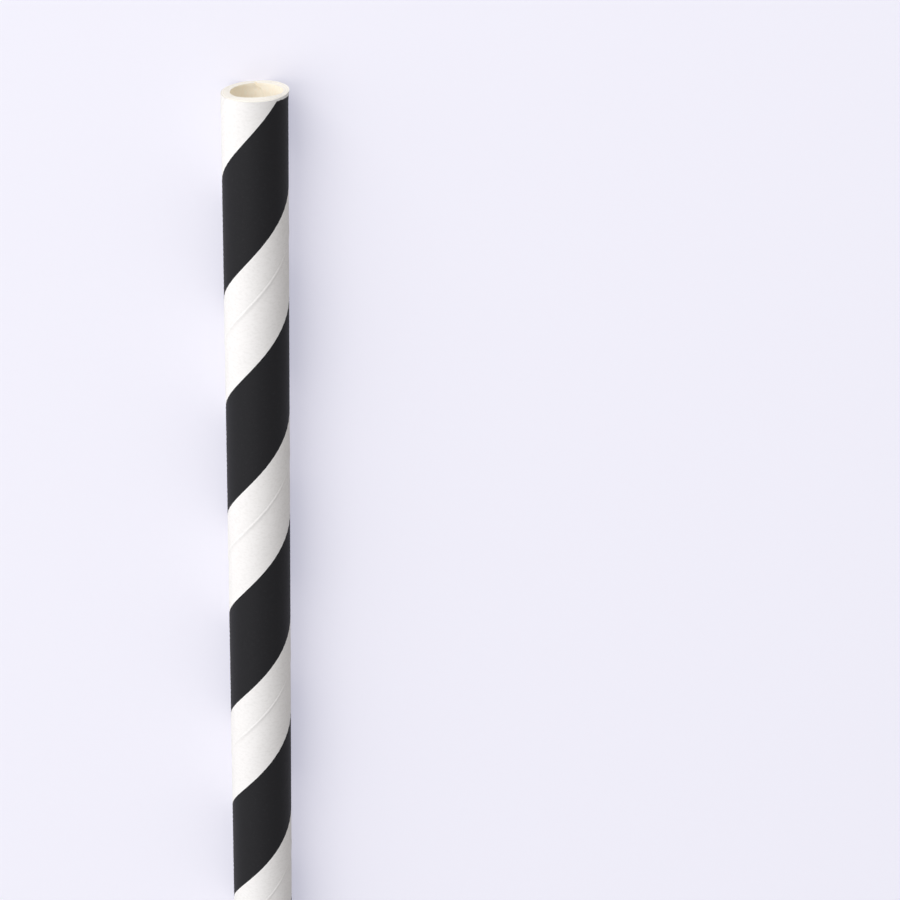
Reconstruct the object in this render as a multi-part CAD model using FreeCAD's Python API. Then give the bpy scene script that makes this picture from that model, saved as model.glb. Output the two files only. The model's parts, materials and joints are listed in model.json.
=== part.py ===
import FreeCAD, Part

import math
import os

from FreeCAD import Vector

# Driving dimensions of the straw, in millimetres
straw_length = 197.0
outer_diameter = 6.0

# The three strips of paper that are wound on each other and glued into one tube
outer_ply = 0.08
middle_ply = 0.19
inner_ply = 0.19

# One turn of the winding along the straw, which is also one turn of the printed stripe
winding_pitch = 22.3

# The lapped edge of the printed strip: a step down, then a slope back up over the turn beneath it
lap_step = 0.05
lap_slope_width = 0.45

# The butt joint between the turns of the inner strip, open towards the bore
inner_joint_width = 0.20

# The small flat that the soft paper takes along the line that the straw lies on
rest_flat_depth = 0.06

# Place of the lap and the joint on the top line of the straw, measured back from the mouth
lap_from_mouth = 18.46
inner_joint_from_mouth = 11.0

# How far a cutter reaches past the surface that it cuts
overrun = 0.05

outer_radius = outer_diameter / 2
wall = outer_ply + middle_ply + inner_ply
bore_radius = outer_radius - wall
mouth_x = straw_length / 2
axis_height = outer_radius - rest_flat_depth


def wound_tube():
    """The plain tube that the glued strips make, standing on +Z."""
    outside = Part.makeCylinder(outer_radius, straw_length)
    inside = Part.makeCylinder(bore_radius, straw_length)
    return outside.cut(inside)


def winding(radius, distance):
    """One right-handed helix per turn, from before the mouth at Z 0 to beyond the tail."""
    first = distance % winding_pitch - 2 * winding_pitch
    turns = math.ceil((straw_length - first) / winding_pitch) + 1
    edges = []
    for turn in range(turns):
        helix = Part.makeHelix(winding_pitch, winding_pitch, radius)
        helix.translate(Vector(0, 0, first + turn * winding_pitch))
        edges.append(helix.Edges[0])
    return edges


def wound_ribbon(corners):
    """A solid that follows the winding; each corner of its section is a radius and a distance."""
    lines = [winding(radius, distance) for radius, distance in corners]
    faces = []
    for line, next_line in zip(lines, lines[1:] + lines[:1]):
        for edge, next_edge in zip(line, next_line):
            faces.append(Part.makeRuledSurface(edge, next_edge, 1))
    starts = [line[0].valueAt(line[0].FirstParameter) for line in lines]
    ends = [line[-1].valueAt(line[-1].LastParameter) for line in lines]
    for points in (starts, ends):
        faces.append(Part.Face(Part.makePolygon(points + points[:1])))
    shell = Part.makeShell(faces)
    shell.sewShape()
    return Part.makeSolid(shell)


def along_straw(width, radius):
    """A width square to the strip's edge, as the longer distance that it takes along the straw."""
    turn_length = math.hypot(winding_pitch, 2 * math.pi * radius)
    return width * turn_length / (2 * math.pi * radius)


def lap():
    """The paper that is missing beside the lapped edge, on the side away from the mouth."""
    slope = along_straw(lap_slope_width, outer_radius)
    reach = slope * (lap_step + overrun) / lap_step
    return wound_ribbon([
        (outer_radius - lap_step, lap_from_mouth),
        (outer_radius + overrun, lap_from_mouth),
        (outer_radius + overrun, lap_from_mouth + reach),
    ])


def inner_joint():
    """The narrow gap between the turns of the inner strip."""
    half = along_straw(inner_joint_width, bore_radius) / 2
    return wound_ribbon([
        (bore_radius - overrun, inner_joint_from_mouth - half),
        (bore_radius + inner_ply, inner_joint_from_mouth - half),
        (bore_radius + inner_ply, inner_joint_from_mouth + half),
        (bore_radius - overrun, inner_joint_from_mouth + half),
    ])


def below_rest():
    """What lies beyond the flat, on the side of the standing tube that comes to lie lowest."""
    corner = Vector(-axis_height - outer_radius, -outer_radius, 0)
    return Part.makeBox(outer_radius, outer_diameter, straw_length, corner)


def straw_tube():
    """The whole straw, laid along X on its side with its mouth towards +X."""
    straw = wound_tube().cut(lap()).cut(inner_joint()).cut(below_rest())
    straw.rotate(Vector(), Vector(0, 1, 0), -90)
    straw.translate(Vector(mouth_x, 0, axis_height))
    return straw


os.makedirs("parts", exist_ok=True)
straw_tube().exportStep("parts/straw_tube.step")
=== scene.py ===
import json
import math

import bpy
from mathutils import Matrix, Vector, noise


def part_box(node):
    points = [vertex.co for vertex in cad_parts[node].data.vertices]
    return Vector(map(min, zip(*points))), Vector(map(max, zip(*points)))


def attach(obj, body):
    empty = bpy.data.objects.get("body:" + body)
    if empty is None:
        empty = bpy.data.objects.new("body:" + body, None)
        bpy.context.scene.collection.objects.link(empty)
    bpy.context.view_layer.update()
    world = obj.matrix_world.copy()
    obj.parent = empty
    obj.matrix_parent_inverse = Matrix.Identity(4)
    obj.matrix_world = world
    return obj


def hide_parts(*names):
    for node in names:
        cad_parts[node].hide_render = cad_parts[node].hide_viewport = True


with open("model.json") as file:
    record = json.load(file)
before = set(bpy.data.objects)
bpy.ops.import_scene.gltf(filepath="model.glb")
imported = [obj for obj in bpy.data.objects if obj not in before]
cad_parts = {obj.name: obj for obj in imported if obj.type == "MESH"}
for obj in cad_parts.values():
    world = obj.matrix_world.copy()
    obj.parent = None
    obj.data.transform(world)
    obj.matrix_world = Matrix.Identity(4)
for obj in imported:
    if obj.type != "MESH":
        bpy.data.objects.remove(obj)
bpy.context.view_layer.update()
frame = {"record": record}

# Sizes are written in millimetres, and the frame is in metres
mm = 0.001

# The wound tube: three strips of paper wound on a rod as one right-handed helix and glued to
# each other all over. The outer strip is white, printed with one black band, and its edge is
# lapped over the turn before it. The tube is cut to length with a blade at both ends.
mounts = {mount["name"]: mount for mount in frame["record"]["mounts"]}
outer_radius = mounts["outside"]["dims"]["r_mm"]
bore_radius = mounts["bore"]["dims"]["r_mm"]
wall = outer_radius - bore_radius
tail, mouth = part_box("straw_tube")
straw_length = (mouth.x - tail.x) / mm
axis_height = mounts["outside"]["pos_m"][2]

winding_pitch = 22.3
lap_from_mouth = 18.46
inner_joint_from_mouth = 11.0

# The lap: a swell before the edge, a bead on it, a fall beyond it and a slope back up
lap_step = 0.02
lap_fall_width = 0.4
lap_slope_width = 2.2
lap_bead_height = 0.02
lap_bead_width = 0.12
lap_swell_height = 0.012
lap_swell_width = 1.6
inner_joint_width = 0.20
inner_joint_depth = 0.17

# How finely the ring, its two edges, the winding and the ends are divided
ring_sides = 48
lap_span = (-0.25, 0.5)
lap_cuts = 9
joint_span = (-0.2, 0.2)
joint_cuts = 5
winding_steps = 360
cut_rows = 5
end_rows = (0.06, 0.14, 0.25, 0.4, 0.6, 0.85, 1.2)

# A point or face nearer to an end than this lies on its cut
on_cut = 0.001


def ramp(value, start, end):
    """Rises smoothly from 0 at start to 1 at end."""
    share = min(max((value - start) / (end - start), 0.0), 1.0)
    return share * share * (3 - 2 * share)


def round_axis(point):
    """Radius and angle of a point about the straw's axis, the angle from the top towards +Y."""
    return math.hypot(point.y, point.z), math.atan2(point.y, point.z)


def put_round_axis(point, radius, angle):
    """Puts a point at a radius and angle. The soft paper gives a little where the straw lies."""
    point.y = radius * math.sin(angle)
    point.z = max(radius * math.cos(angle), -axis_height / mm)


def beyond_edge(point, edge_from_mouth, radius):
    """How far a point lies from a strip's wound edge, square to it and positive towards the tail."""
    edge_here = edge_from_mouth + winding_pitch * round_axis(point)[1] / (2 * math.pi)
    turn = 2 * math.pi * radius
    return math.remainder(-point.x - edge_here, winding_pitch) * turn / math.hypot(winding_pitch, turn)


def lap_height(beyond):
    """Height of the outside over the plain tube, near the lapped edge of the printed strip."""
    swell = lap_swell_height * ramp(beyond, -lap_swell_width, -lap_bead_width)
    bead = lap_bead_height * ramp(beyond, -lap_bead_width, 0)
    dip = lap_step * (1 - ramp(beyond, lap_fall_width, lap_slope_width))
    return (swell + bead + dip) * (1 - ramp(beyond, 0, lap_fall_width)) - dip


def edit(piece, kind):
    """Opens a piece in edit mode, selecting vertices, edges or faces."""
    bpy.ops.object.select_all(action="DESELECT")
    bpy.context.view_layer.objects.active = piece
    piece.select_set(True)
    bpy.ops.object.mode_set(mode="EDIT")
    bpy.ops.mesh.select_mode(type=kind)


def select_edges(piece, wanted):
    """Selects the edges whose middle passes the test, and opens the piece on them."""
    mesh = piece.data
    for part in (mesh.vertices, mesh.edges, mesh.polygons):
        part.foreach_set("select", [False] * len(part))
    for line in mesh.edges:
        ends = [mesh.vertices[index] for index in line.vertices]
        if wanted((ends[0].co + ends[1].co) / 2):
            line.select = True
            for end in ends:
                end.select = True
    edit(piece, "EDGE")


bpy.ops.object.select_all(action="DESELECT")
bpy.ops.mesh.primitive_circle_add(vertices=ring_sides, radius=outer_radius,
                                  rotation=(0, math.pi / 2, 0))
straw = bpy.context.object
straw.name = "wound_straw"
bpy.ops.object.transform_apply(location=False, rotation=True, scale=False)

# Both edges get more points, so that the step of the lap and the joint come out crisp
for edge_from_mouth, (start, end), cuts in ((lap_from_mouth, lap_span, lap_cuts),
                                            (inner_joint_from_mouth, joint_span, joint_cuts)):
    select_edges(straw, lambda middle: start < beyond_edge(middle, edge_from_mouth, outer_radius) < end)
    bpy.ops.mesh.subdivide(number_cuts=cuts)
    bpy.ops.object.mode_set(mode="OBJECT")

# The ring is wound back along the straw, and the wall is laid inside it
winding = straw.modifiers.new("winding", "SCREW")
winding.axis = "X"
winding.angle = -2 * math.pi * straw_length / winding_pitch
winding.screw_offset = -straw_length
winding.steps = winding_steps
winding.render_steps = winding_steps
bpy.ops.object.modifier_apply(modifier="winding")
edit(straw, "FACE")
bpy.ops.mesh.select_all(action="SELECT")
bpy.ops.mesh.normals_make_consistent(inside=False)
bpy.ops.object.mode_set(mode="OBJECT")
layers = straw.modifiers.new("layers", "SOLIDIFY")
layers.thickness = wall
layers.use_even_offset = True
bpy.ops.object.modifier_apply(modifier="layers")

# Rows of points over the square cut ends, and close to them, for the marks of the blade
middle_radius = (outer_radius + bore_radius) / 2
for place in (0, -straw_length):
    for point in straw.data.vertices:
        if abs(point.co.x - place) < end_rows[0]:
            point.co.x = place
    select_edges(straw, lambda middle: abs(middle.x - place) < on_cut
                 and abs(round_axis(middle)[0] - middle_radius) < wall / 4)
    bpy.ops.mesh.subdivide(number_cuts=cut_rows)
    bpy.ops.object.mode_set(mode="OBJECT")
edit(straw, "FACE")
for row in end_rows:
    for place in (-row, row - straw_length):
        bpy.ops.mesh.select_all(action="SELECT")
        bpy.ops.mesh.bisect(plane_co=(place, 0, 0), plane_no=(1, 0, 0))
bpy.ops.object.mode_set(mode="OBJECT")

# The lap stands on the outside and the joint is sunk into the bore, all along the winding
for point in straw.data.vertices:
    radius, angle = round_axis(point.co)
    outwards = (radius - bore_radius) / wall
    outside = outer_radius + lap_height(beyond_edge(point.co, lap_from_mouth, outer_radius))
    past_joint = abs(beyond_edge(point.co, inner_joint_from_mouth, bore_radius))
    inside = bore_radius + inner_joint_depth * (past_joint < inner_joint_width / 2)
    put_round_axis(point.co, inside + outwards * (outside - inside), angle)

# Each face takes the paper that shows there; the three papers are made in this order below
printed_face, cut_face, bore_face = range(3)
for face in straw.data.polygons:
    from_end = min(-face.center.x, face.center.x + straw_length)
    if from_end < on_cut:
        face.material_index = cut_face
    elif round_axis(face.center)[0] > middle_radius:
        face.material_index = printed_face
    else:
        face.material_index = bore_face

# Where the blade comes in it rounds the outer corner and presses the paper inwards. Across from
# there, where it leaves, it drags the outer paper outwards and out of the end. Between the two it
# leaves a burr of fibres on the inner edge.
corner_drop = 0.09
corner_inset = 0.05
corner_reach = 0.33
press_angle = math.radians(60)
press_inwards = 0.42
press_back = 0.05
drag_outwards = 0.10
drag_forward = 0.30
drag_inner_share = 0.4
burr_angle = math.radians(-15)
burr_forward = 0.24
marked_length = 0.85
fuzz_height = 0.022
fuzz_size = 0.35
tail_strength = 0.35
weld_distance = 0.0002
crease_angle = math.radians(38)


def shape_end(place, way_out, strength):
    """Shapes the blade's marks on one end; way_out is 1 or -1 along X."""
    for point in straw.data.vertices:
        from_end = (place - point.co.x) * way_out
        if from_end > marked_length:
            continue
        radius, angle = round_axis(point.co)
        inwards = min(max((outer_radius - radius) / wall, 0.0), 1.0)
        close = strength * (1 - ramp(from_end, 0, marked_length)) ** 2
        entry = 0.5 + 0.5 * math.cos(angle - press_angle)
        press = close * inwards * entry ** 1.5
        drag = close * (1 - entry) ** 1.5 * (1 + (drag_inner_share - 1) * inwards)
        burr = close * inwards * (0.5 + 0.5 * math.cos(angle - burr_angle)) ** 3
        corner = (from_end < on_cut) * entry * (1 - ramp(inwards, 0, corner_reach))
        fuzz = (from_end < on_cut) * noise.noise(point.co / fuzz_size)
        radius += drag_outwards * drag - press_inwards * press - corner_inset * corner
        put_round_axis(point.co, radius, angle)
        forward = drag_forward * drag + burr_forward * burr - press_back * press
        point.co.x += way_out * (forward - corner_drop * corner + fuzz_height * fuzz)


shape_end(0, 1, 1)
shape_end(-straw_length, -1, tail_strength)

edit(straw, "VERT")
bpy.ops.mesh.select_all(action="SELECT")
bpy.ops.mesh.remove_doubles(threshold=weld_distance)
bpy.ops.object.mode_set(mode="OBJECT")
bpy.ops.object.shade_smooth_by_angle(angle=crease_angle)
straw.scale = (mm, mm, mm)
straw.location = (mouth.x, 0, axis_height)
bpy.ops.object.transform_apply(location=True, rotation=False, scale=True)


class Shade:
    """A socket of a material's nodes that takes part in sums; any other node comes from node()."""

    def __init__(self, tree, socket=None):
        self.tree = tree
        self.socket = socket

    def node(self, kind, settings, inputs, output=0):
        """Adds a node: first its settings, then the values or links of its sockets."""
        made = self.tree.nodes.new(kind)
        for name, value in settings.items():
            setattr(made, name, value)
        for name, value in inputs.items():
            if isinstance(value, Shade):
                self.tree.links.new(value.socket, made.inputs[name])
            else:
                made.inputs[name].default_value = value
        return Shade(self.tree, made.outputs[output])

    def maths(self, operation, *values):
        """The result of a sum on values that are numbers or sockets."""
        return self.node("ShaderNodeMath", {"operation": operation}, dict(enumerate(values)))

    def rise(self, start, end):
        """0 where this value is below start, 1 above end, smooth between them."""
        return self.node("ShaderNodeMapRange", {"interpolation_type": "SMOOTHSTEP"},
                         {"Value": self, "From Min": start, "From Max": end})

    def grain(self, scale, detail, stretch=(1, 1, 1)):
        """Noise about 0 on this position, with scale in grains to the millimetre."""
        place = self.node("ShaderNodeMapping", {}, {"Vector": self, "Scale": stretch})
        cloud = self.node("ShaderNodeTexNoise", {},
                          {"Vector": place, "Scale": scale / mm, "Detail": detail})
        return cloud - 0.5

    def mix(self, first, second):
        """The first colour where this mask is 0, and the second where it is 1."""
        return self.node("ShaderNodeMix", {"data_type": "RGBA"},
                         {"Factor": self, 6: first, 7: second}, output=2)

    def __add__(self, other):
        return self.maths("ADD", self, other)

    def __sub__(self, other):
        return self.maths("SUBTRACT", self, other)

    def __rsub__(self, other):
        return self.maths("SUBTRACT", other, self)

    def __mul__(self, other):
        return self.maths("MULTIPLY", self, other)

    __radd__ = __add__
    __rmul__ = __mul__


def paper(name, specular):
    """A new material: its shader and its position on the object, ready for the paper's own nodes."""
    material = bpy.data.materials.new(name)
    material.use_nodes = True
    straw.data.materials.append(material)
    shader = material.node_tree.nodes["Principled BSDF"]
    shader.inputs["Specular IOR Level"].default_value = specular
    position = Shade(material.node_tree).node("ShaderNodeTexCoord", {}, {}, output="Object")
    return shader, position


def finish_with(shader, colour, roughness, height, depth):
    """Links a paper's colour, roughness and surface height, in units of depth, to its shader."""
    bump = height.node("ShaderNodeBump", {}, {"Height": height, "Distance": depth * mm})
    for name, value in (("Base Color", colour), ("Roughness", roughness), ("Normal", bump)):
        height.tree.links.new(value.socket, shader.inputs[name])


def winding_place(position):
    """Distance from the mouth and angle about the axis, both in turns of the winding."""
    x, y, z = (position.node("ShaderNodeSeparateXYZ", {}, {0: position}, output=axis)
               for axis in "XYZ")
    along = (mouth.x - x) * (1 / (winding_pitch * mm))
    around = y.maths("ARCTAN2", y, z - axis_height) * (1 / (2 * math.pi))
    return along, around


def end_distance(along):
    """Distance from the nearer end of the straw, in millimetres."""
    from_mouth = along * winding_pitch
    return from_mouth.maths("MINIMUM", from_mouth, straw_length - from_mouth)


# The printed paper: bleached kraft, its ink laid as one band that is a little over half a turn
# wide. The blade leaves a narrow white edge where it lifts the ink at both ends.
stripe_from_mouth = 2.59
stripe_share = 0.516
ink_edge = 0.012
ink_wander = 0.05
bare_edge = 0.10
bare_wander = 0.16
bare_fade = 0.03
white_paper = (0.90, 0.888, 0.884, 1)
white_fibre = (0.85, 0.838, 0.83, 1)
black_ink = (0.0195, 0.0195, 0.022, 1)
worn_ink = (0.034, 0.034, 0.037, 1)
speck_wear = 0.5
fibre_wear = 0.3
paper_roughness = 0.66
ink_roughness = 0.60
fibre_roughness = 0.18
ink_height = 0.15
printed_relief = 0.006

shader, position = paper("printed_paper", specular=0.1)
along, around = winding_place(position)
wander = position.grain(1.6, 4) * (ink_wander / winding_pitch)
phase = along - around - stripe_from_mouth / winding_pitch + wander
phase = phase.maths("FRACT", phase)
edge = ink_edge / winding_pitch
inked = phase.rise(0, 2 * edge) * (1 - phase.rise(stripe_share - edge, stripe_share + edge))
bare = bare_edge + position.grain(2.5, 3) * bare_wander
inked = inked * end_distance(along).rise(bare, bare + bare_fade)
fibres = position.grain(5, 5, (1, 0.6, 0.6))
specks = position.grain(9, 2).rise(0.16, 0.24)
white = fibres.rise(-0.1, 0.25).mix(white_paper, white_fibre)
black = (specks * speck_wear + fibres.rise(0, 0.3) * fibre_wear).mix(black_ink, worn_ink)
roughness = inked * (ink_roughness - paper_roughness) + paper_roughness + fibres * fibre_roughness
finish_with(shader, inked.mix(white, black), roughness, fibres + inked * ink_height, printed_relief)

# The cut ends: bare fibres of the three strips, with a fine line of glue between one strip and
# the next.
printed_ply = 0.08
plain_ply = 0.19
ply_wander = 0.06
glue_core = 0.01
glue_reach = 0.03
cut_paper = (0.90, 0.875, 0.82, 1)
glue_line = (0.72, 0.66, 0.56, 1)
glue_stain = 0.5
fibre_stain = 0.4
cut_roughness = 0.85
glue_sink = 0.3
cut_relief = 0.02

shader, position = paper("cut_paper", specular=0.3)
flat = position.node("ShaderNodeVectorMath", {"operation": "SUBTRACT"},
                     {0: position, 1: (0, 0, axis_height)})
across = flat.node("ShaderNodeVectorMath", {"operation": "MULTIPLY"}, {0: flat, 1: (0, 1, 1)})
radius = across.node("ShaderNodeVectorMath", {"operation": "LENGTH"}, {0: across}, output="Value")
radius = radius * (1 / mm) + position.grain(3, 3) * ply_wander
fibres = position.grain(7, 5)
lines = 0
for ply_radius in (outer_radius - printed_ply, outer_radius - printed_ply - plain_ply):
    away = radius.maths("ABSOLUTE", radius - ply_radius)
    lines = (1 - away.rise(glue_core, glue_reach)) + lines
stain = lines * glue_stain + fibres.rise(0, 0.3) * fibre_stain
finish_with(shader, stain.mix(cut_paper, glue_line), fibres * 0.1 + cut_roughness,
            fibres - lines * glue_sink, cut_relief)

# The bore: the inner strip's plain cream paper, with nothing printed or coated on it. Near the open
# ends the paper glows with painted light, in place of the light that reaches in there; farther in,
# none.
bore_paper = (0.85, 0.82, 0.748, 1)
bore_fibre = (0.81, 0.765, 0.672, 1)
painted_bore_glow = (0.18, 0.147, 0.098, 1)
no_light = (0, 0, 0, 1)
painted_glow_depth = 5
bore_roughness = 0.8
bore_relief = 0.015

shader, position = paper("bore_paper", specular=0.3)
# Painted light: the bore paper glows, most at the open ends and not at all deep inside
shader.inputs["Emission Strength"].default_value = 1
along, around = winding_place(position)
painted_glow = end_distance(along).rise(0, painted_glow_depth).mix(painted_bore_glow, no_light)
painted_glow.tree.links.new(painted_glow.socket, shader.inputs["Emission Color"])
fibres = position.grain(4, 5, (0.5, 1, 1))
cream = fibres.rise(-0.15, 0.3).mix(bore_paper, bore_fibre)
finish_with(shader, cream, fibres * 0.1 + bore_roughness, fibres, bore_relief)

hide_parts("straw_tube")
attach(straw, "root")

# The floor: a plain pale surface that the straw lies on. The camera sees it as the photograph's
# pale backdrop, and it keeps the straw's shadow.
floor_size = 4.0
floor_colour = (0.56, 0.545, 0.545, 1)
floor_roughness = 0.9
floor_specular = 0.1
backdrop_glow = (0.385, 0.39, 0.485, 1)

bpy.ops.object.select_all(action="DESELECT")
bpy.ops.mesh.primitive_plane_add(size=floor_size, location=(0, 0, 0))
floor = bpy.context.object
floor.name = "floor"
surface = bpy.data.materials.new("pale_floor")
surface.use_nodes = True
shader = surface.node_tree.nodes["Principled BSDF"]
shader.inputs["Base Color"].default_value = floor_colour
shader.inputs["Roughness"].default_value = floor_roughness
shader.inputs["Specular IOR Level"].default_value = floor_specular
shader.inputs["Emission Strength"].default_value = 1
rays = Shade(surface.node_tree)
seen = sum(rays.node("ShaderNodeLightPath", {}, {}, output=ray)
           for ray in ("Is Camera Ray", "Is Glossy Ray", "Is Transmission Ray"))
glow = seen.mix(no_light, backdrop_glow)
surface.node_tree.links.new(glow.socket, shader.inputs["Emission Color"])
floor.data.materials.append(surface)

# The light: a large soft lamp beyond the mouth on the left, weaker ones above and beside the straw,
# and an even pale room.
room_colour = (1.0, 0.98, 0.975, 1)
room_strength = 0.465
lamp_distance = 0.9
lamp_size = 0.7

world = bpy.data.worlds.new("pale_room")
world.use_nodes = True
room = world.node_tree.nodes["Background"]
room.inputs["Color"].default_value = room_colour
room.inputs["Strength"].default_value = room_strength
bpy.context.scene.world = world


def soft_lamp(name, towards, power):
    """A square lamp that shines on the straw's mouth from a direction, with its power in watts."""
    data = bpy.data.lights.new(name, "AREA")
    data.size = lamp_size
    data.energy = power
    lamp = bpy.data.objects.new(name, data)
    bpy.context.scene.collection.objects.link(lamp)
    direction = Vector(towards).normalized()
    lamp.location = Vector((mouth.x, 0, axis_height)) + direction * lamp_distance
    lamp.rotation_euler = direction.to_track_quat("Z", "Y").to_euler()


soft_lamp("window", (0.8, 0.5, 0.33), 5.9)
soft_lamp("upper_window", (-0.1, 0.57, 0.82), 2.6)
soft_lamp("side_window", (0.1, 0.98, 0.2), 1.1)

# The camera: on the photograph's side of the straw, looking down on it past the mouth.
camera_place = Vector((0.1600, 0, 0.20474))
camera_aim = Vector((0.06324, -0.01825, 0.00299))
camera_roll = math.radians(1.63)
lens_length = 94.06

lens = bpy.data.cameras.new("camera")
lens.lens = lens_length
lens.sensor_width = 36
lens.clip_start = 0.01
camera = bpy.data.objects.new("camera", lens)
bpy.context.scene.collection.objects.link(camera)
back = (camera_place - camera_aim).normalized()
right = Vector((1, 0, 0)).cross(back).normalized()
up = back.cross(right)
turn = Matrix((right, up, back)).transposed() @ Matrix.Rotation(camera_roll, 3, "Z")
camera.matrix_world = Matrix.Translation(camera_place) @ turn.to_4x4()
bpy.context.scene.camera = camera
bpy.context.scene.view_settings.view_transform = "Standard"
